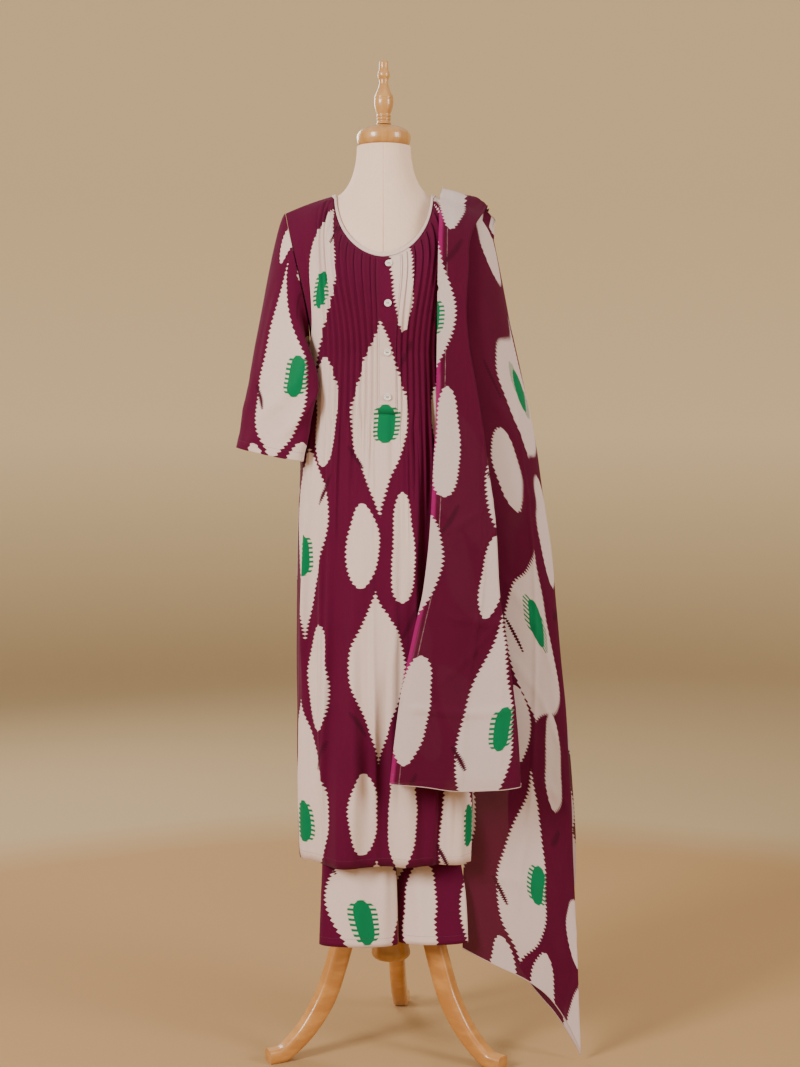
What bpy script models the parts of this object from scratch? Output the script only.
"""A salwar kameez suit shown on a limbless dress form.

The suit is a kameez with a pintucked yoke and three-quarter sleeves, a salwar that shows under its hem,
and a dupatta laid over the wearer's left shoulder. The form stands on a turned post with three curved legs.

Metres, +Z up, front towards -Y. The wearer's right is -X. Every piece is modelled about the form's upright
axis, and the whole is then moved so that the origin is on the floor at the middle of the footprint.
"""

import math
from bisect import bisect_right
from collections import namedtuple

import bmesh
import bpy
from mathutils import Vector

MM = 0.001
FRONT, BACK = -1, 1
RIGHT, LEFT = -1, 1

# Driving dimensions
SEAM_GAP = 0.3 * MM
CLOTH_WALL = 1.5 * MM
SHEER_WALL = 1.2 * MM
HEM_Z = 0.351
UNDERARM_Z = 1.22
SLIT_TOP_Z = 0.80
SHOULDER_TIP = Vector((0.170, 0.0, 1.463))
NECK_POINT = Vector((0.083, 0.0, 1.4938))
NECK_CAP_Z = 1.578
TORSO_BOTTOM_Z = 0.86
POST_X = 0.012
CROTCH_Z = 0.74
SALWAR_TOP_Z = 1.09
WAISTBAND_TOP_Z = 1.12
AXIS_FROM_ORIGIN = Vector((-0.0485, -0.0250, 0.0))


# Small helpers

def mix(a, b, t):
    return a + (b - a) * t


def ease(t):
    t = min(1.0, max(0.0, t))
    return t * t * (3 - 2 * t)


def read(rows, column, at):
    """Smooth value of one named column of a table whose first column rises."""
    keys = [row[0] for row in rows]
    values = [getattr(row, column) for row in rows]
    if at <= keys[0]:
        return values[0]
    if at >= keys[-1]:
        return values[-1]
    rises = [(b - a) / (q - p) for a, b, p, q in zip(values, values[1:], keys, keys[1:])]

    def slope(i):
        if i in (0, len(keys) - 1):
            return rises[0] if i == 0 else rises[-1]
        before, after = rises[i - 1], rises[i]
        return 0.0 if before * after <= 0 else 2 * before * after / (before + after)

    i = bisect_right(keys, at) - 1
    span = keys[i + 1] - keys[i]
    t = (at - keys[i]) / span
    start, end = slope(i) * span, slope(i + 1) * span
    return (
        values[i] * (1 + 2 * t) * (1 - t) ** 2
        + start * t * (1 - t) ** 2
        + values[i + 1] * t * t * (3 - 2 * t)
        + end * t * t * (t - 1)
    )


def bezier(p0, p1, p2, p3, t):
    s = 1 - t
    return p0 * s**3 + p1 * (3 * s * s * t) + p2 * (3 * s * t * t) + p3 * t**3


def spaced(low, high, count):
    """Evenly spaced values, both ends among them."""
    return [mix(low, high, i / (count - 1)) for i in range(count)]


def facing(surface, u, v, hint):
    """Unit normal of a surface(u, v), on the side that hint points to."""
    step = 0.002
    across = surface(min(1.0, u + step), v) - surface(max(-1.0, u - step), v)
    up = surface(u, v + step) - surface(u, v - step)
    normal = across.cross(up).normalized()
    return normal if normal.dot(hint) > 0 else -normal


# Scene, materials and mesh builders

def clear_scene():
    for obj in list(bpy.data.objects):
        bpy.data.objects.remove(obj)


def new_collection(name):
    made = bpy.data.collections.new(name)
    bpy.context.scene.collection.children.link(made)
    return made


def new_material(name, colour, roughness, metallic=0.0):
    material = bpy.data.materials.new(name)
    material.use_nodes = True
    shader = material.node_tree.nodes["Principled BSDF"]
    shader.inputs["Base Color"].default_value = (*colour, 1.0)
    shader.inputs["Roughness"].default_value = roughness
    shader.inputs["Metallic"].default_value = metallic
    return material


def add_object(name, data, material):
    obj = bpy.data.objects.new(name, data)
    SUIT.objects.link(obj)
    obj.parent = ORIGIN
    if material:
        obj.data.materials.append(material)
    return obj


def smooth(obj, angle=50):
    obj.data.shade_smooth()
    obj.data.set_sharp_from_angle(angle=math.radians(angle))


def stitch_rows(mesh, low, high, low_u, high_u, flip):
    """Faces between two rows of points. Rows of one length give quads, others give triangles."""
    faces = []
    if low_u == high_u:
        for i in range(len(low) - 1):
            faces.append((low[i], low[i + 1], high[i + 1], high[i]))
    else:
        i = j = 0
        while i < len(low) - 1 or j < len(high) - 1:
            next_low = low_u[i + 1] if i < len(low) - 1 else math.inf
            next_high = high_u[j + 1] if j < len(high) - 1 else math.inf
            if next_low <= next_high:
                faces.append((low[i], low[i + 1], high[j]))
                i += 1
            else:
                faces.append((low[i], high[j + 1], high[j]))
                j += 1
    for corners in faces:
        mesh.faces.new(reversed(corners) if flip else corners)


def cloth(name, rows, material, wall=CLOTH_WALL, raised=0.0, flip=False, closed=False):
    """A cloth wall. rows run up the piece, each a list of (u, inner point, share of raised added outside)."""
    mesh = bmesh.new()
    points, lifts = [], []
    for row in rows:
        points.append([mesh.verts.new(point) for _, point, _ in row])
        lifts += [lift for _, _, lift in row]
    for low, high, low_row, high_row in zip(points, points[1:], rows, rows[1:]):
        low_u, high_u = [c[0] for c in low_row], [c[0] for c in high_row]
        if closed:
            low, high = low + low[:1], high + high[:1]
            low_u, high_u = low_u + [2.0], high_u + [2.0]
        stitch_rows(mesh, low, high, low_u, high_u, flip)
    data = bpy.data.meshes.new(name)
    mesh.to_mesh(data)
    mesh.free()
    obj = add_object(name, data, material)
    solid = obj.modifiers.new("wall", "SOLIDIFY")
    solid.thickness = wall + raised
    solid.offset = 1.0
    if raised:
        group = obj.vertex_groups.new(name="lift")
        for i, lift in enumerate(lifts):
            group.add([i], (wall + raised * lift) / (wall + raised), "REPLACE")
        solid.vertex_group = group.name
    smooth(obj)
    return obj


def turned(name, profile, material, centre=(0.0, 0.0), steps=20):
    """A turned piece. profile runs down its outer side as (radius, height), from axis to axis."""
    mesh = bmesh.new()
    points = [mesh.verts.new((radius, 0.0, z)) for radius, z in profile]
    for a, b in zip(points, points[1:]):
        mesh.edges.new((a, b))
    data = bpy.data.meshes.new(name)
    mesh.to_mesh(data)
    mesh.free()
    obj = add_object(name, data, material)
    obj.location = (*centre, 0.0)
    screw = obj.modifiers.new("turn", "SCREW")
    screw.steps = screw.render_steps = steps
    screw.use_merge_vertices = True
    screw.merge_threshold = 0.00005
    smooth(obj, 40)
    return obj


# Kameez body: rings below the underarm, and curves from there up to the neck and shoulder

Ring = namedtuple("Ring", "z half_width front back")
RINGS = (
    Ring(0.351, 0.147, 0.140, 0.125),
    Ring(0.50, 0.1505, 0.138, 0.125),
    Ring(0.72, 0.1505, 0.134, 0.122),
    Ring(0.90, 0.148, 0.128, 0.118),
    Ring(1.02, 0.1435, 0.120, 0.112),
    Ring(1.11, 0.137, 0.114, 0.104),
    Ring(1.22, 0.130, 0.115, 0.100),
)
BOXINESS = 0.8
SLIT_EDGE_Y = {(FRONT, RIGHT): -0.010, (FRONT, LEFT): -0.088, (BACK, RIGHT): 0.092, (BACK, LEFT): 0.092}
BACK_HEM_SPREAD = 0.008

Fold = namedtuple("Fold", "u spread depth top_z")
SKIRT_FOLDS = {
    FRONT: (
        Fold(-0.29, 0.13, 0.024, 0.75),
        Fold(-0.78, 0.12, 0.007, 0.95),
        Fold(0.02, 0.10, -0.006, 0.90),
        Fold(0.20, 0.09, 0.008, 0.95),
        Fold(0.45, 0.08, -0.006, 0.80),
        Fold(0.63, 0.09, 0.007, 0.90),
    ),
    BACK: (
        Fold(-0.62, 0.12, 0.012, 0.90),
        Fold(-0.30, 0.10, -0.007, 0.95),
        Fold(0.00, 0.13, 0.014, 0.95),
        Fold(0.33, 0.10, -0.007, 0.90),
        Fold(0.66, 0.12, 0.012, 0.95),
    ),
}


def body_ring(side, u, z):
    """Inner face of the kameez below the underarm. u runs from the right side seam to the left one."""
    across, depth = math.sin(u * math.pi / 2), abs(math.cos(u * math.pi / 2)) ** BOXINESS
    opened = ease((SLIT_TOP_Z - z) / (SLIT_TOP_Z - HEM_Z))
    edge = mix(SLIT_EDGE_Y[side, RIGHT], SLIT_EDGE_Y[side, LEFT], (1 + across) / 2) * opened
    half = read(RINGS, "half_width", z) + (BACK_HEM_SPREAD * opened if side == BACK else 0.0)
    reach = read(RINGS, "front" if side == FRONT else "back", z)
    push = 0.0
    for fold in SKIRT_FOLDS[side]:
        grown = ease((fold.top_z - z) / (fold.top_z - HEM_Z))
        push += fold.depth * grown * math.exp(-(((u - fold.u) / fold.spread) ** 2))
    return Vector((
        half * across + push * across,
        side * (reach * depth + push * depth) + edge * (1 - depth) + side * SEAM_GAP / 2,
        z,
    ))


NECK_U = 0.4615
NECK_DROP = 0.1075
NECK_FRONT_Y = 0.088
NAPE = Vector((0.0, 0.060, 1.479))
SHOULDER_CROWN = 0.002


def top_edge(side, u):
    """Neckline, then the shoulder seam out to its tip."""
    t = abs(u)
    hand = -1.0 if u < 0 else 1.0
    if t <= NECK_U:
        turn = t / NECK_U
        rise, fall = math.sin(turn * math.pi / 2), max(0.0, math.cos(turn * math.pi / 2))
        if side == FRONT:
            point = Vector((
                NECK_POINT.x * rise, -NECK_FRONT_Y * fall**0.8, NECK_POINT.z - NECK_DROP * fall
            ))
        else:
            point = Vector((
                NECK_POINT.x * rise,
                NAPE.y * fall**0.9,
                mix(NAPE.z, NECK_POINT.z, rise**3),
            ))
    else:
        k = (t - NECK_U) / (1 - NECK_U)
        point = NECK_POINT.lerp(SHOULDER_TIP, k)
        point.z += SHOULDER_CROWN * math.sin(math.pi * k)
    return Vector((hand * point.x, point.y + side * SEAM_GAP / 2, point.z))


Pull = namedtuple("Pull", "u low_x low_y low_z high_x high_y high_z")
PULLS = {
    FRONT: (
        Pull(0.00, 0.000, 0.012, 0.060, 0.000, 0.024, -0.048),
        Pull(0.46, 0.000, 0.014, 0.100, 0.034, 0.068, -0.036),
        Pull(0.75, -0.004, 0.036, 0.070, 0.000, 0.080, -0.048),
        Pull(0.90, -0.026, 0.064, 0.030, -0.012, 0.083, -0.074),
        Pull(1.00, -0.026, 0.082, 0.014, -0.020, 0.086, -0.092),
    ),
    BACK: (
        Pull(0.00, 0.000, 0.012, 0.090, 0.000, 0.034, -0.050),
        Pull(0.46, 0.000, 0.014, 0.100, 0.024, 0.062, -0.028),
        Pull(0.75, 0.000, 0.030, 0.080, 0.000, 0.072, -0.042),
        Pull(1.00, -0.014, 0.060, 0.015, -0.012, 0.066, -0.085),
    ),
}


def kameez(side, u, v):
    """Inner face of a kameez panel. v is 0 at the hem, 1 at the underarm and 2 at neck and shoulder."""
    if v <= 1:
        return body_ring(side, u, mix(HEM_Z, UNDERARM_Z, v))
    hand = -1.0 if u < 0 else 1.0
    pulls, t = PULLS[side], abs(u)
    low = Vector((
        hand * read(pulls, "low_x", t), side * read(pulls, "low_y", t), read(pulls, "low_z", t)
    ))
    high = Vector((
        hand * read(pulls, "high_x", t), side * read(pulls, "high_y", t), read(pulls, "high_z", t)
    ))
    start, end = body_ring(side, u, UNDERARM_Z), top_edge(side, u)
    return bezier(start, start + low, end + high, end, v - 1)


def kameez_out(side, u, v, distance):
    """A point off the outside of a panel's inner face."""
    hint = Vector((math.sin(u * math.pi / 2), side * 1.0, 0.35 if v > 1.6 else 0.0))
    normal = facing(lambda a, b: kameez(side, a, b), u, min(v, 1.998), hint)
    return kameez(side, u, v) + normal * distance


def u_at(x):
    """The column that passes x at the underarm."""
    return math.asin(x / RINGS[-1].half_width) * 2 / math.pi


# Pintucks beside the placket, sewn down over the yoke and opening below it

PLACKET_X = 0.0065
PLACKET_WIDTH = 0.030
TUCKS_A_SIDE = 10
FIRST_TUCK = 0.0195
TUCK_PITCH = 0.0096
TUCK_HEIGHT = 1.8 * MM
TUCK_SLOPE = 2.4 * MM
TUCK_DROP = 0.9 * MM
YOKE_END_Z = 1.115
GATHER_END_Z = 0.95


def tuck_columns():
    """(u, share of the tuck's height) across the front: each tuck rises gently and drops at its fold."""
    columns = []
    for hand in (RIGHT, LEFT):
        for i in range(TUCKS_A_SIDE):
            x = PLACKET_X + hand * (FIRST_TUCK + TUCK_PITCH * i)
            columns.append((u_at(x - hand * TUCK_SLOPE), 0.0))
            columns.append((u_at(x), 1.0))
            columns.append((u_at(x + hand * TUCK_DROP), 0.0))
    edges = [-1.0, -0.96, -0.90, -0.82, -0.73, -0.64, -NECK_U, NECK_U, 0.75, 0.84, 0.91, 0.96, 1.0]
    columns += [(u, 0.0) for u in edges]
    columns += [(u_at(PLACKET_X + across * PLACKET_WIDTH / 2), 0.0) for across in (-1, 0, 1)]
    return sorted(columns)


def v_at(z):
    return (z - HEM_Z) / (UNDERARM_Z - HEM_Z)


BINDING_WIDTH = 8 * MM
SHOULDER_ROWS = spaced(1.0, 1.86, 6)


def edge_v(side, u):
    """The height at which the neck binding's lower edge crosses a column."""
    step = 0.05
    length = (kameez(side, u, 2.0) - kameez(side, u, 2.0 - step)).length
    return 2.0 - BINDING_WIDTH * step / length


def tuck_height(v, z):
    """Share of a tuck's height: none under the neck binding, and fading below the yoke."""
    if v > SHOULDER_ROWS[-1]:
        return 0.0
    return ease((z - GATHER_END_Z) / (YOKE_END_Z - GATHER_END_Z))


def make_front(material):
    yoke_columns = tuck_columns()
    skirt_columns = spaced(-1.0, 1.0, 27)
    rows = []
    for z in (HEM_Z, 0.44, 0.53, 0.62, 0.70, SLIT_TOP_Z, 0.88):
        rows.append([(u, body_ring(FRONT, u, z), 0.0) for u in skirt_columns])
    for v in [v_at(GATHER_END_Z), v_at(1.035), v_at(YOKE_END_Z)] + SHOULDER_ROWS + [None, 2.0]:
        row = []
        for u, share in yoke_columns:
            at = edge_v(FRONT, u) if v is None else v
            point = kameez(FRONT, u, at)
            row.append((u, point, share * tuck_height(at, point.z)))
        rows.append(row)
    return cloth("kameez_front", rows, material, raised=TUCK_HEIGHT)


BACK_COLUMNS = [-1.0, -0.93, -0.82, -0.69, -0.57] + spaced(-NECK_U, NECK_U, 9) + [0.57, 0.69, 0.82, 0.93, 1.0]


def make_back(material):
    heights = [v_at(z) for z in (HEM_Z, 0.47, 0.59, 0.70, SLIT_TOP_Z, 0.95, 1.10)]
    rows = []
    for v in heights + SHOULDER_ROWS + [None, 2.0]:
        row = []
        for u in BACK_COLUMNS:
            row.append((u, kameez(BACK, u, edge_v(BACK, u) if v is None else v), 0.0))
        rows.append(row)
    return cloth("kameez_back", rows, material, flip=True)


# Neck binding, placket and buttons, laid on the panels' outside

TRIM_WALL = 1.2 * MM
CORNER_LIFT = 0.5 * MM
ON_CLOTH = CLOTH_WALL + SEAM_GAP


def binding_corner(u, share):
    """The binding where it crosses a shoulder seam: share 1 is its lower edge."""
    along = (SHOULDER_TIP - NECK_POINT).normalized() * (BINDING_WIDTH * share)
    point = NECK_POINT + along + Vector((0.0, 0.0, ON_CLOTH + SEAM_GAP + SHOULDER_CROWN * share * 0.3))
    return Vector((math.copysign(point.x, u), 0.0, point.z))


def make_binding(material):
    """A bias strip round the neck, one loop over both panels."""
    near = NECK_U * 0.985
    front = [-near] + [u for u, share in tuck_columns() if abs(u) < near - 0.01 and share == 0] + [near]
    back = [near] + [u for u in reversed(BACK_COLUMNS) if abs(u) < near - 0.01] + [-near]
    front, back = [(FRONT, u) for u in front], [(BACK, u) for u in back]
    loop = [(None, -NECK_U)] + front + [(None, NECK_U)] + back
    rows = []
    for share in (1.0, 0.0):
        row = []
        for i, (side, u) in enumerate(loop):
            if side is None:
                point = binding_corner(u, share)
            else:
                raised = ON_CLOTH + CORNER_LIFT * ease((abs(u) / NECK_U - 0.6) / 0.3)
                point = kameez_out(side, u, mix(2.0, edge_v(side, u), share), raised)
            row.append((i / len(loop), point, 0.0))
        rows.append(row)
    return cloth("kameez_neck_binding", rows, material, wall=TRIM_WALL, closed=True)


PLACKET_TOP_V = 1.93


def placket_point(across, v):
    """across runs from -1 to 1 over the placket's width."""
    u = u_at(PLACKET_X + across * PLACKET_WIDTH / 2)
    return kameez_out(FRONT, u, v, ON_CLOTH)


def make_placket(material):
    heights = [v_at(YOKE_END_Z)] + SHOULDER_ROWS + [PLACKET_TOP_V]
    rows = [[(a, placket_point(a, v), 0.0) for a in (-1, 0, 1)] for v in heights]
    return cloth("kameez_placket", rows, material, wall=TRIM_WALL)


BUTTON_RADIUS = 6.2 * MM
BUTTON_HEIGHT = 2.4 * MM
BUTTON_RIM = 1.5 * MM
BUTTON_DISH = 0.7 * MM
HOLE_RADIUS = 0.9 * MM
HOLE_FROM_CENTRE = 1.7 * MM
BUTTON_Z = (1.366, 1.299, 1.218, 1.143)


def button_mesh(material):
    """One two-hole button about its own axis, its back at the origin."""
    base, top, dish = 0.0, BUTTON_HEIGHT, BUTTON_HEIGHT - BUTTON_DISH
    profile = [
        (0.0, dish), (BUTTON_RADIUS - BUTTON_RIM - 0.6 * MM, dish), (BUTTON_RADIUS - BUTTON_RIM, top),
        (BUTTON_RADIUS - 0.5 * MM, top), (BUTTON_RADIUS, top - 0.8 * MM),
        (BUTTON_RADIUS - 0.6 * MM, base), (0.0, base),
    ]
    blank = turned("button_blank", profile, material, steps=14)
    for hand in (RIGHT, LEFT):
        bpy.ops.mesh.primitive_cylinder_add(
            vertices=6, radius=HOLE_RADIUS, depth=4 * BUTTON_HEIGHT, location=(hand * HOLE_FROM_CENTRE, 0, 0)
        )
        drill = bpy.context.object
        drill.hide_render = True
        drill.display_type = "WIRE"
        cut = blank.modifiers.new("hole", "BOOLEAN")
        cut.operation = "DIFFERENCE"
        cut.object = drill
    bpy.context.view_layer.update()
    graph = bpy.context.evaluated_depsgraph_get()
    blank.parent = None
    bpy.context.view_layer.update()
    made = bpy.data.meshes.new_from_object(blank.evaluated_get(graph))
    for obj in [m.object for m in blank.modifiers if m.type == "BOOLEAN"] + [blank]:
        bpy.data.objects.remove(obj)
    return made


def v_near(z):
    """The height up the front's middle, above the underarm, that is nearest z."""
    return min(spaced(v_at(1.10), 1.95, 400), key=lambda v: abs(kameez(FRONT, u_at(PLACKET_X), v).z - z))


def make_buttons(material):
    mesh = button_mesh(material)
    u = u_at(PLACKET_X)
    for i, z in enumerate(BUTTON_Z):
        v = v_near(z)
        seat = kameez_out(FRONT, u, v, ON_CLOTH + TRIM_WALL + 2 * SEAM_GAP)
        normal = (seat - kameez(FRONT, u, v)).normalized()
        obj = add_object(f"kameez_button_{i + 1}", mesh, None)
        obj.location = seat
        obj.rotation_mode = "QUATERNION"
        obj.rotation_quaternion = normal.to_track_quat("Z", "Y")


# Sleeves: from the armhole to a flattened ring part way down, then to the cuff

Station = namedtuple("Station", "t outer_x outer_y outer_z inner_x inner_y inner_z half_depth")
SLEEVE = (
    Station(0.0, 0.2290, -0.018, 1.190, 0.1135, -0.094, 1.165, 0.024),
    Station(0.5, 0.2415, -0.024, 1.120, 0.1250, -0.096, 1.100, 0.025),
    Station(1.0, 0.2524, -0.030, 1.059, 0.1380, -0.092, 1.035, 0.024),
)
ARMHOLE_CLEAR = 3.4 * MM
SLEEVE_SKEW = 0.10
SLEEVE_SIDES = 24
CAP_SHARE = 0.42


def armhole(hand, turn):
    """The armhole edge and its outward normal: turn 0 is the shoulder tip, a half the underarm."""
    if turn <= 0.5:
        side, v = FRONT, 2 - turn * 2
    else:
        side, v = BACK, 1 + (turn - 0.5) * 2
    edge = kameez(side, hand * 1.0, v)
    return edge, (kameez_out(side, hand * 1.0, v, 1.0) - edge)


def sleeve_ring(hand, t, turn):
    """A point on the flattened sleeve between the cap and the cuff."""
    values = {name: read(SLEEVE, name, t) for name in Station._fields[1:]}
    outer = Vector((hand * values["outer_x"], values["outer_y"], values["outer_z"]))
    inner = Vector((hand * values["inner_x"], values["inner_y"], values["inner_z"]))
    angle = 2 * math.pi * (turn + SLEEVE_SKEW * (1 - math.cos(2 * math.pi * turn)))
    middle, half = (outer + inner) / 2, (outer - inner) / 2
    across = Vector((half.y * hand, -half.x * hand, 0.0)).normalized()
    if across.y > 0:
        across = -across
    return middle + half * math.cos(angle) + across * (values["half_depth"] * math.sin(angle))


def sleeve_point(hand, t, turn):
    """Inner face of a sleeve. t is 0 at the armhole and 1 at the cuff."""
    if t >= CAP_SHARE:
        return sleeve_ring(hand, (t - CAP_SHARE) / (1 - CAP_SHARE), turn)
    under = (1 - math.cos(2 * math.pi * turn)) / 2
    edge, normal = armhole(hand, turn)
    clear = SEAM_GAP + CLOTH_WALL * max(0.0, hand * normal.x) + ARMHOLE_CLEAR * under
    start = edge + Vector((hand * clear, 0.0, 0.0))
    end = sleeve_ring(hand, 0.0, turn)
    out = normal * (0.022 * under) + Vector((hand * mix(0.016, 0.006, under), 0.0, -0.012 * (1 - under)))
    lift = sleeve_ring(hand, 0.0, turn) - sleeve_ring(hand, 0.35, turn)
    lift.x, lift.y = lift.x * (1 - under), lift.y * (1 - under)
    return bezier(start, start + out, end + lift * 1.2, end, t / CAP_SHARE)


def make_sleeve(hand, material):
    turns = [i / SLEEVE_SIDES for i in range(SLEEVE_SIDES)]
    rows = []
    for t in (1.0, 0.82, 0.62, 0.42, 0.33, 0.24, 0.15, 0.07, 0.0):
        rows.append([(turn, sleeve_point(hand, t, turn), 0.0) for turn in turns])
    name = "kameez_sleeve_right" if hand == RIGHT else "kameez_sleeve_left"
    return cloth(name, rows, material, flip=hand == LEFT, closed=True)


# Dress form: the kameez's own body line, drawn in to a body's waist

Ease = namedtuple("Ease", "z inward")
FORM_EASE = (Ease(0.86, 0.026), Ease(1.00, 0.021), Ease(1.11, 0.0215), Ease(1.22, 0.008))
YOKE_EASE = 2.2 * MM
SHOULDER_EASE = 0.5 * MM
ARMHOLE_EASE = 3.5 * MM
NECK_RADIUS = 0.0465
NECK_ROWS = 8


def form_ring(side, u, z):
    """The form below the underarm."""
    inward = read(FORM_EASE, "inward", z)
    angle = u * math.pi / 2
    half = read(RINGS, "half_width", z) - inward
    reach = read(RINGS, "front" if side == FRONT else "back", z) - inward
    return Vector((half * math.sin(angle), side * reach * abs(math.cos(angle)) ** BOXINESS, z))


def form_point(side, u, v):
    """The form's surface, under the place of a kameez panel with the same u and v."""
    z = mix(HEM_Z, UNDERARM_Z, v)
    if v <= 1:
        return form_ring(side, u, z)
    point = kameez(side, u, v)
    inward = mix(read(FORM_EASE, "inward", UNDERARM_Z), YOKE_EASE, ease((v - 1) / 0.6))
    if v >= 1.999:
        y = 0.0 if abs(u) >= NECK_U else point.y * 0.985
        return Vector((point.x * (0.98 if abs(u) > 0.999 else 1.0), y, point.z - SHOULDER_EASE))
    point = kameez_out(side, u, v, -inward)
    point.x -= math.copysign(ARMHOLE_EASE * ease((abs(u) - 0.85) / 0.15) * ease((v - 1) / 0.3), u)
    return point


def neck_point(start, t):
    """From the neck opening's edge up to the neck's round top."""
    angle = math.atan2(start.y, start.x)
    round_to = Vector((math.cos(angle), math.sin(angle), 0.0)) * NECK_RADIUS
    top = round_to + Vector((0.0, 0.0, NECK_CAP_Z))
    base = round_to * 1.3 + Vector((0.0, 0.0, 1.498))
    return bezier(start, start.lerp(base, 0.55), round_to * 1.03 + Vector((0.0, 0.0, 1.520)), top, t)


def make_torso(material):
    mesh = bmesh.new()
    columns = BACK_COLUMNS
    heights = [v_at(z) for z in (TORSO_BOTTOM_Z, 0.93, 1.01, 1.06, SALWAR_TOP_Z, WAISTBAND_TOP_Z, 1.165)]
    heights += SHOULDER_ROWS + [1.93, 2.0]
    sides = {}
    for side in (FRONT, BACK):
        rows = [[mesh.verts.new(form_point(side, u, v)) for u in columns] for v in heights]
        sides[side] = rows
        for low, high in zip(rows, rows[1:]):
            stitch_rows(mesh, low, high, columns, columns, side == BACK)
        ring = [mesh.verts.new(p.co) for p, u in zip(rows[-1], columns) if abs(u) <= NECK_U]
        starts = [p.co.copy() for p in ring]
        previous = ring
        for k in range(1, NECK_ROWS + 1):
            nxt = [mesh.verts.new(neck_point(start, k / NECK_ROWS)) for start in starts]
            for i in range(len(nxt) - 1):
                corners = (previous[i], previous[i + 1], nxt[i + 1], nxt[i])
                mesh.faces.new(corners if side == FRONT else corners[::-1])
            previous = nxt
    for end in (0, -1):
        fronts = [row[end] for row in sides[FRONT]]
        backs = [row[end] for row in sides[BACK]]
        for i in range(heights.index(1.0), len(heights) - 1):
            mesh.faces.new((fronts[i], backs[i], backs[i + 1], fronts[i + 1]))
    bmesh.ops.remove_doubles(mesh, verts=mesh.verts[:], dist=0.0002)
    bmesh.ops.holes_fill(mesh, edges=mesh.edges[:], sides=0)
    bmesh.ops.triangulate(mesh, faces=[f for f in mesh.faces if len(f.verts) > 4])
    bmesh.ops.recalc_face_normals(mesh, faces=mesh.faces[:])
    data = bpy.data.meshes.new("form_torso")
    mesh.to_mesh(data)
    mesh.free()
    smooth(add_object("form_torso", data, material), 60)


# Turned wood: neck cap, finial, post and hub

def make_cap(material):
    low = NECK_CAP_Z + SEAM_GAP
    profile = [(0.0, low + 0.0375)]
    profile += [
        (0.0467 * math.sin(a), low + 0.017 + 0.0205 * math.cos(a)) for a in spaced(0.35, math.pi / 2, 6)
    ]
    profile += [(0.0465, low + 0.010), (0.0445, low + 0.004), (0.0405, low), (0.0, low)]
    turned("form_neck_cap", profile, material, steps=24)


Turn = namedtuple("Turn", "height radius")
FINIAL = (
    Turn(0.1085, 0.0000), Turn(0.1085, 0.0070), Turn(0.1070, 0.0078), Turn(0.0935, 0.0078),
    Turn(0.0895, 0.0102), Turn(0.0855, 0.0107), Turn(0.0815, 0.0102), Turn(0.0775, 0.0080),
    Turn(0.0700, 0.0078), Turn(0.0620, 0.0098), Turn(0.0540, 0.0135), Turn(0.0465, 0.0168),
    Turn(0.0440, 0.0158), Turn(0.0420, 0.0168), Turn(0.0340, 0.0166), Turn(0.0240, 0.0142),
    Turn(0.0170, 0.0112), Turn(0.0155, 0.0124), Turn(0.0135, 0.0126), Turn(0.0120, 0.0108),
    Turn(0.0100, 0.0124), Turn(0.0080, 0.0122), Turn(0.0062, 0.0106), Turn(0.0020, 0.0128),
    Turn(0.0000, 0.0130), Turn(0.0000, 0.0000),
)


def make_finial(material):
    base = NECK_CAP_Z + SEAM_GAP + 0.0375 - 0.0004
    seat = base + SEAM_GAP + 0.0006
    turned("form_finial", [(t.radius, seat + t.height) for t in FINIAL], material, steps=12)


POST_RADIUS = 0.0125
HUB_TOP_Z = 0.315
HUB_BOTTOM_Z = 0.152


def make_post(material):
    low, high = HUB_TOP_Z + SEAM_GAP, TORSO_BOTTOM_Z - SEAM_GAP
    profile = [(0.0, high), (POST_RADIUS, high), (POST_RADIUS, low), (0.0, low)]
    turned("stand_post", profile, material, centre=(POST_X, 0.0), steps=16)


HUB = (
    Turn(0.1630, 0.0000), Turn(0.1630, 0.0180), Turn(0.1600, 0.0215), Turn(0.1480, 0.0225),
    Turn(0.1420, 0.0270), Turn(0.1360, 0.0300), Turn(0.0240, 0.0310), Turn(0.0160, 0.0345),
    Turn(0.0090, 0.0345), Turn(0.0030, 0.0300), Turn(0.0000, 0.0220), Turn(0.0000, 0.0000),
)


def make_hub(material):
    profile = [(t.radius, HUB_BOTTOM_Z + t.height) for t in HUB]
    turned("stand_hub", profile, material, centre=(POST_X, 0.0), steps=20)


# Curved legs, each sawn from a board and rounded

LegLine = namedtuple("LegLine", "along r z")
LEG_LINE = (
    LegLine(0.00, 0.0314, 0.2620), LegLine(0.10, 0.0500, 0.2610), LegLine(0.19, 0.0690, 0.2440),
    LegLine(0.30, 0.0880, 0.2090), LegLine(0.45, 0.1040, 0.1600), LegLine(0.60, 0.1230, 0.1080),
    LegLine(0.75, 0.1530, 0.0600), LegLine(0.87, 0.1860, 0.0265), LegLine(0.94, 0.2100, 0.0118),
    LegLine(1.00, 0.2330, 0.0105),
)
LEG_HALF_DEPTH = 0.0185
LEG_HALF_WIDTH = 0.0145
LEG_TURNS = {"stand_leg_right": 245, "stand_leg_left": 125, "stand_leg_back": 5}
LEG_SECTION = 12


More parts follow.
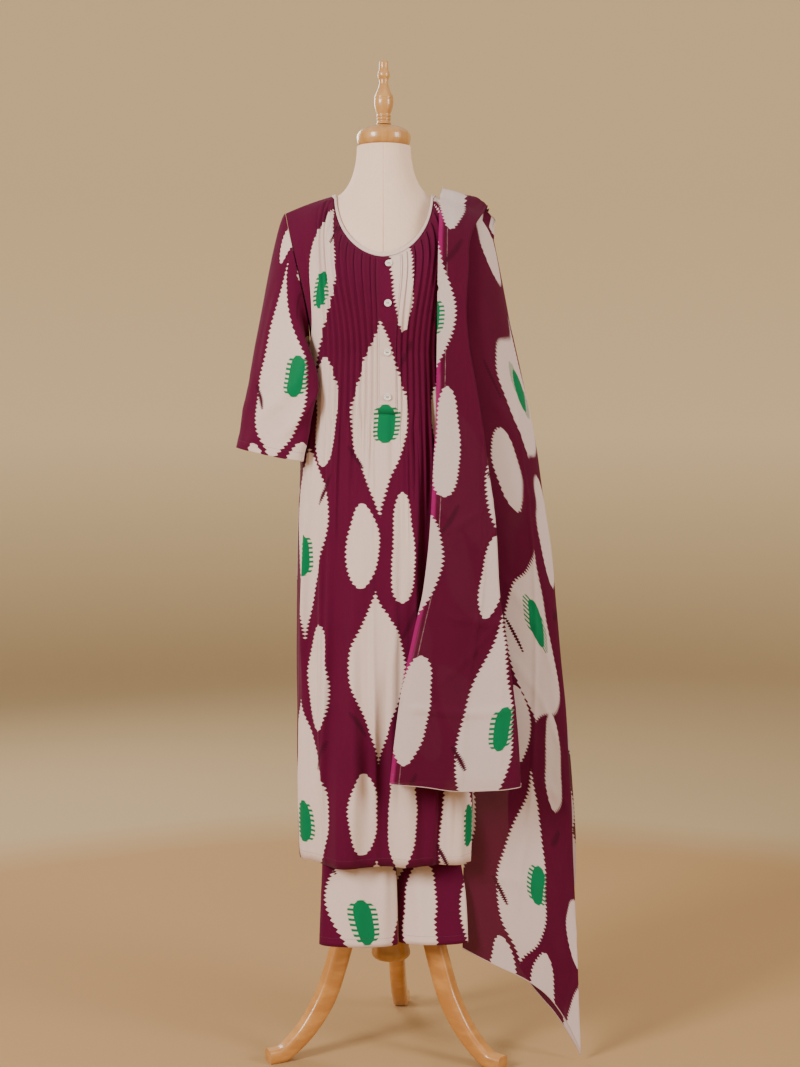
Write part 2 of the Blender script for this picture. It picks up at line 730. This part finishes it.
def leg_point(t, turn):
    """A point round the leg at share t of its length, in the board's own plane: x outwards, z up."""
    step = 0.02
    here = Vector((read(LEG_LINE, "r", t), 0.0, read(LEG_LINE, "z", t)))
    ahead = Vector((read(LEG_LINE, "r", min(1, t + step)), 0.0, read(LEG_LINE, "z", min(1, t + step))))
    behind = Vector((read(LEG_LINE, "r", max(0, t - step)), 0.0, read(LEG_LINE, "z", max(0, t - step))))
    way = (ahead - behind).normalized()
    normal = Vector((way.z, 0.0, -way.x))
    half_depth = LEG_HALF_DEPTH * mix(1.0, 0.72, ease((t - 0.6) / 0.4))
    c, s = math.cos(turn), math.sin(turn)
    squared = 0.55
    depth = half_depth * math.copysign(abs(c) ** squared, c)
    width = LEG_HALF_WIDTH * math.copysign(abs(s) ** squared, s)
    point = here + normal * depth + Vector((0.0, width, 0.0))
    point.z = max(point.z, 0.0)
    return point


def make_leg(name, compass, material):
    """compass is degrees clockwise from the back, seen from above."""
    mesh = bmesh.new()
    turns = [2 * math.pi * i / LEG_SECTION for i in range(LEG_SECTION)]
    rows = []
    for t in spaced(0.0, 0.87, 10) + [0.94, 1.0]:
        rows.append([mesh.verts.new(leg_point(t, turn)) for turn in turns])
    for low, high in zip(rows, rows[1:]):
        for i in range(LEG_SECTION):
            j = (i + 1) % LEG_SECTION
            mesh.faces.new((low[i], low[j], high[j], high[i]))
    mesh.faces.new(rows[0])
    mesh.faces.new(rows[-1])
    bmesh.ops.recalc_face_normals(mesh, faces=mesh.faces[:])
    data = bpy.data.meshes.new(name)
    mesh.to_mesh(data)
    mesh.free()
    obj = add_object(name, data, material)
    obj.location = (POST_X, 0.0, 0.0)
    obj.rotation_euler = (0.0, 0.0, math.radians(90 - compass))
    smooth(obj, 40)


# Salwar: hung by its waistband against the front of the form, before the post

Salwar = namedtuple("Salwar", "z split_x outer_right outer_left right_y left_y half_depth")
SALWAR = (
    Salwar(0.212, 0.0250, -0.1085, 0.1440, -0.1120, -0.0980, 0.0230),
    Salwar(0.290, 0.0235, -0.1060, 0.1400, -0.1050, -0.0820, 0.0215),
    Salwar(0.360, 0.0210, -0.1040, 0.1300, -0.0960, -0.0640, 0.0205),
    Salwar(0.500, 0.0140, -0.1080, 0.1220, -0.0880, -0.0640, 0.0210),
    Salwar(0.620, 0.0070, -0.1140, 0.1200, -0.0780, -0.0700, 0.0230),
    Salwar(0.740, 0.0000, -0.1180, 0.1180, -0.0800, -0.0800, 0.0170),
    Salwar(0.860, 0.0000, -0.1120, 0.1120, -0.0500, -0.0500, 0.0060),
    Salwar(1.000, 0.0000, -0.1000, 0.1000, -0.0500, -0.0500, 0.0048),
    Salwar(1.120, 0.0000, -0.0900, 0.0900, -0.0500, -0.0500, 0.0042),
)
RISE_Z = 0.86
LEG_POINTS = 19
SALWAR_ROWS = (
    0.212, 0.28, 0.36, 0.45, 0.55, 0.65, 0.74, 0.765, 0.79, 0.82, 0.86, 0.93, 1.01, 1.06, SALWAR_TOP_Z,
)


def form_front_y(x, z):
    """The form's front face at that x."""
    half = form_ring(FRONT, 1.0, z).x
    u = math.asin(max(-0.98, min(0.98, x / half))) * 2 / math.pi
    return form_ring(FRONT, u, z).y


def salwar_point(hand, z, turn):
    """turn runs from the front edge (0) round the outside to the back edge (1)."""
    split = read(SALWAR, "split_x", z)
    outer = read(SALWAR, "outer_right" if hand == RIGHT else "outer_left", z)
    depth = read(SALWAR, "half_depth", z)
    opened = ease((z - CROTCH_Z) / (RISE_Z - CROTCH_Z))
    inner = split + hand * (SEAM_GAP / 2 + CLOTH_WALL * (1 - opened) / (1 + opened))
    middle = mix((inner + outer) / 2, inner, opened)
    half = outer - middle
    start = math.acos(min(1.0, max(-1.0, (middle - inner) / half)))
    start = max(start, 0.02)
    angle = mix(start, 2 * math.pi - start, turn)
    x = middle - half * math.cos(angle)
    free_y = read(SALWAR, "right_y" if hand == RIGHT else "left_y", z)
    held_y = form_front_y(x, z) - depth - CLOTH_WALL - 0.5 * MM
    y = mix(free_y, held_y, ease((z - CROTCH_Z) / 0.10))
    return Vector((x, y - depth * math.sin(angle), z))


def make_salwar_leg(hand, material):
    turns = spaced(0.0, 1.0, LEG_POINTS)
    rows = []
    for z in SALWAR_ROWS:
        rows.append([(turn, salwar_point(hand, z, turn), 0.0) for turn in turns])
    name = "salwar_leg_right" if hand == RIGHT else "salwar_leg_left"
    return cloth(name, rows, material, flip=hand == RIGHT)


def make_waistband(material):
    low = SALWAR_TOP_Z + SEAM_GAP
    rows = []
    for z in (low, WAISTBAND_TOP_Z):
        half = read(SALWAR, "outer_left", z)
        depth = read(SALWAR, "half_depth", z)
        row = []
        for i in range(24):
            angle = 2 * math.pi * i / 24
            x = -half * math.cos(angle)
            y = form_front_y(x, z) - depth - CLOTH_WALL - 0.5 * MM
            row.append((i / 24, Vector((x, y - depth * math.sin(angle), z)), 0.0))
        rows.append(row)
    return cloth("salwar_waistband", rows, material, closed=True)


# Dupatta: front fall in three layers, a stretch over the shoulder, and the long back fall

FrontFall = namedtuple("FrontFall", "z left_x left_y right_x right_y spacing")
FRONT_FALL = (
    FrontFall(0.505, 0.0035, -0.1520, 0.2335, -0.1450, 0.0150),
    FrontFall(0.570, 0.0125, -0.1500, 0.2300, -0.1440, 0.0120),
    FrontFall(0.650, 0.0250, -0.1470, 0.2220, -0.1420, 0.0090),
    FrontFall(0.760, 0.0490, -0.1390, 0.2060, -0.1380, 0.0075),
    FrontFall(0.820, 0.0630, -0.1330, 0.1985, -0.1350, 0.0070),
    FrontFall(0.920, 0.0745, -0.1250, 0.1930, -0.1310, 0.0065),
    FrontFall(1.036, 0.0810, -0.1130, 0.1780, -0.1260, 0.0060),
    FrontFall(1.110, 0.0850, -0.1050, 0.1680, -0.1230, 0.0055),
    FrontFall(1.290, 0.0880, -0.0990, 0.1400, -0.1090, 0.0050),
    FrontFall(1.380, 0.0890, -0.0960, 0.1420, -0.0870, 0.0056),
    FrontFall(1.440, 0.0900, -0.0660, 0.1450, -0.0508, 0.0062),
)
FRONT_FALL_LAYERS = 3
FRONT_FALL_TOP_Z = 1.436
FRONT_FALL_HEM_Z = 0.502
FOLD_SHARE = 0.12


def front_fall_point(z, share):
    """share runs from the front layer's free edge (0) through three layers to the hidden edge (1)."""
    row = {name: read(FRONT_FALL, name, z) for name in FrontFall._fields[1:]}
    place = min(share * FRONT_FALL_LAYERS, FRONT_FALL_LAYERS - 1e-6)
    layer, along = int(place), place % 1.0
    onward = 1 if layer % 2 == 0 else -1
    radius = row["spacing"] / 2
    start = FOLD_SHARE if layer > 0 else 0.0
    end = 1 - FOLD_SHARE if layer < FRONT_FALL_LAYERS - 1 else 1.0
    reach = (min(end, max(start, along)) - start) / (end - start)
    beyond = max(start - along, along - end, 0.0) / FOLD_SHARE * math.pi / 2
    side = 1 if along > end else -1
    low, high = row["left_x"] + 0.006 * place + radius, row["right_x"] - 0.004 * place - radius
    x = mix(low, high, reach if onward > 0 else 1 - reach) + onward * side * radius * math.sin(beyond)
    across = mix(row["left_y"], row["right_y"], (x - row["left_x"]) / (row["right_x"] - row["left_x"]))
    behind = row["spacing"] * (layer + 1 - FRONT_FALL_LAYERS) + side * radius * (1 - math.cos(beyond))
    wave = 0.0022 * math.sin(reach * math.pi * 3 + layer * 1.7) * ease((1.30 - z) / 0.5)
    return Vector((x, across + behind + wave * math.sin(math.pi * reach), z))


def front_fall_shares():
    """Shares with more of them round the two folds."""
    inner = (0.0, 0.04, 0.08, FOLD_SHARE, 0.28, 0.42, 0.56, 0.72, 1 - FOLD_SHARE, 0.92, 0.96)
    shares = [(layer + a) / FRONT_FALL_LAYERS for layer in range(FRONT_FALL_LAYERS) for a in inner]
    return [share for share in shares if not 0 < share < 0.04] + [1.0]


def make_front_fall(material):
    heights = spaced(FRONT_FALL_HEM_Z, 0.82, 5) + [0.92, 1.03, 1.15, 1.28, 1.37, FRONT_FALL_TOP_Z]
    rows = []
    for z in heights:
        rows.append([(share, front_fall_point(z, share), 0.0) for share in front_fall_shares()])
    return cloth("dupatta_front_fall", rows, material, wall=SHEER_WALL)


BackFall = namedtuple("BackFall", "z in_x in_y out_x out_y back_x back_y tail_x tail_y")
BACK_FALL = (
    BackFall(0.010, 0.1400, -0.080, 0.3430, -0.090, 0.2400, -0.035, 0.3500, 0.010),
    BackFall(0.193, 0.1400, -0.080, 0.3360, -0.080, 0.2300, -0.028, 0.3500, 0.012),
    BackFall(0.347, 0.1420, -0.072, 0.3270, -0.070, 0.2200, -0.020, 0.3536, 0.015),
    BackFall(0.454, 0.1560, -0.084, 0.3220, -0.062, 0.2150, -0.012, 0.3477, 0.022),
    BackFall(0.579, 0.1600, -0.086, 0.3160, -0.052, 0.2100, -0.002, 0.3365, 0.032),
    BackFall(0.720, 0.1600, -0.088, 0.3050, -0.042, 0.2050, 0.010, 0.3180, 0.044),
    BackFall(0.861, 0.1560, -0.092, 0.2930, -0.034, 0.1980, 0.024, 0.3000, 0.056),
    BackFall(1.000, 0.1450, -0.108, 0.2740, -0.024, 0.1880, 0.038, 0.2690, 0.068),
    BackFall(1.060, 0.1350, -0.108, 0.2650, -0.022, 0.1840, 0.042, 0.2580, 0.072),
    BackFall(1.167, 0.1250, -0.108, 0.2420, -0.018, 0.1740, 0.050, 0.2350, 0.076),
    BackFall(1.296, 0.1180, -0.098, 0.2150, -0.012, 0.1620, 0.072, 0.2080, 0.090),
    BackFall(1.380, 0.1160, -0.0785, 0.2000, -0.006, 0.1520, 0.074, 0.1900, 0.088),
    BackFall(1.435, 0.1180, -0.0550, 0.1890, -0.002, 0.1380, 0.068, 0.1680, 0.080),
)
BACK_FALL_TOP_Z = 1.432
FIRST_FOLD, SECOND_FOLD = 0.38, 0.66
HemPoint = namedtuple("HemPoint", "share z")
BACK_FALL_HEM = (
    HemPoint(0.0, 0.195), HemPoint(0.19, 0.125), HemPoint(0.38, 0.010), HemPoint(0.52, 0.085),
    HemPoint(0.66, 0.175), HemPoint(0.84, 0.240), HemPoint(1.0, 0.288),
)


def back_fall_section(z, share):
    """Plan of the back fall: forward layer, a fold outside, middle layer, a fold inside, rear layer."""
    row = {name: read(BACK_FALL, name, z) for name in BackFall._fields[1:]}
    start = Vector((row["in_x"], row["in_y"], z))
    out = Vector((row["out_x"], row["out_y"], z))
    back = Vector((row["back_x"], row["back_y"], z))
    tail = Vector((row["tail_x"], row["tail_y"], z))
    if share <= FIRST_FOLD:
        width = out.x - start.x
        turn = Vector((0.0, -0.30 * (out.y - start.y) - 0.010, 0.0))
        return bezier(start, start + Vector((0.42 * width, -0.008, 0.0)), out + turn, out, share / FIRST_FOLD)
    if share <= SECOND_FOLD:
        t = (share - FIRST_FOLD) / (SECOND_FOLD - FIRST_FOLD)
        gap = back.y - out.y
        leave, arrive = Vector((0.0, 0.25 * gap + 0.006, 0.0)), Vector((0.0, -0.2 * gap - 0.004, 0.0))
        return bezier(out, out + leave, back + arrive, back, t)
    t = (share - SECOND_FOLD) / (1 - SECOND_FOLD)
    arrive = Vector((-0.45 * (tail.x - back.x), 0.004, 0.0))
    return bezier(back, back + Vector((0.0, 0.010, 0.0)), tail + arrive, tail, t)


def back_fall_point(share, drop):
    """drop is 0 at the shoulder and 1 at the hem."""
    hem = read(BACK_FALL_HEM, "z", share)
    return back_fall_section(mix(BACK_FALL_TOP_Z, hem, drop), share)


def make_back_fall(material):
    shares = spaced(0.0, 0.30, 8) + [0.345, FIRST_FOLD, 0.41] + spaced(0.45, 0.60, 5)
    shares += [0.64, SECOND_FOLD, 0.69] + spaced(0.73, 1.0, 6)
    drops = [1.0, 0.91, 0.82, 0.72, 0.62, 0.52, 0.42, 0.32, 0.24, 0.16, 0.09, 0.04, 0.0]
    rows = [[(share, back_fall_point(share, drop), 0.0) for share in shares] for drop in drops]
    return cloth("dupatta_back_fall", rows, material, wall=SHEER_WALL)


SHOULDER_U = 0.535
SHOULDER_EDGE_V = 1.84


def shoulder_point(u, q):
    """Over the left shoulder. q is -1 at the front edge, 0 on the seam and 1 at the back edge."""
    side = FRONT if q < 0 else BACK
    v = mix(1.999, SHOULDER_EDGE_V, abs(q))
    lift = CLOTH_WALL + mix(1.0 * MM, 2.8 * MM, ease(abs(q) * 1.4))
    point = kameez_out(side, min(u, 1.0), v, lift)
    if abs(q) < 0.01:
        point = kameez(FRONT, min(u, 1.0), 2.0) + Vector((0.0, 0.0, lift))
        point.y = 0.0
    point.z += 0.6 * MM * ease((u - 0.9) / 0.1)
    beyond = max(0.0, u - 1.0)
    return point + Vector((0.010 * beyond * 10, 0.0, -0.012 * (beyond * 10) ** 2 + 0.002 * beyond * 10))


def make_shoulder(material):
    rows = []
    for u in spaced(SHOULDER_U, 1.0, 7) + [1.06]:
        rows.append([(q, shoulder_point(u, q), 0.0) for q in spaced(-1.0, 1.0, 13)])
    return cloth("dupatta_shoulder", rows, material, wall=SHEER_WALL, flip=True)


# Build

clear_scene()
SUIT = new_collection("salwar_kameez_suit")
ORIGIN = bpy.data.objects.new("form_axis", None)
SUIT.objects.link(ORIGIN)
ORIGIN.location = AXIS_FROM_ORIGIN

PLUM = new_material("plum_print_cotton", (0.21, 0.016, 0.075), 0.85)
CREAM_TRIM = new_material("cream_print_cotton", (0.68, 0.58, 0.52), 0.85)
SHEER = new_material("sheer_plum_cotton", (0.24, 0.02, 0.09), 0.8)
PEARL = new_material("pearl_button", (0.85, 0.82, 0.78), 0.3)
CREAM = new_material("form_cream_cover", (0.72, 0.60, 0.50), 0.7)
WOOD = new_material("varnished_pale_wood", (0.55, 0.33, 0.13), 0.35)
STEEL = new_material("post_steel", (0.55, 0.55, 0.56), 0.3, 1.0)

make_front(PLUM)
make_back(PLUM)
make_sleeve(RIGHT, PLUM)
make_sleeve(LEFT, PLUM)
make_binding(CREAM_TRIM)
make_placket(PLUM)
make_buttons(PEARL)
make_salwar_leg(RIGHT, PLUM)
make_salwar_leg(LEFT, PLUM)
make_waistband(PLUM)
make_front_fall(SHEER)
make_shoulder(SHEER)
make_back_fall(SHEER)
make_torso(CREAM)
make_cap(WOOD)
make_finial(WOOD)
make_post(STEEL)
make_hub(WOOD)
for leg_name, leg_compass in LEG_TURNS.items():
    make_leg(leg_name, leg_compass, WOOD)
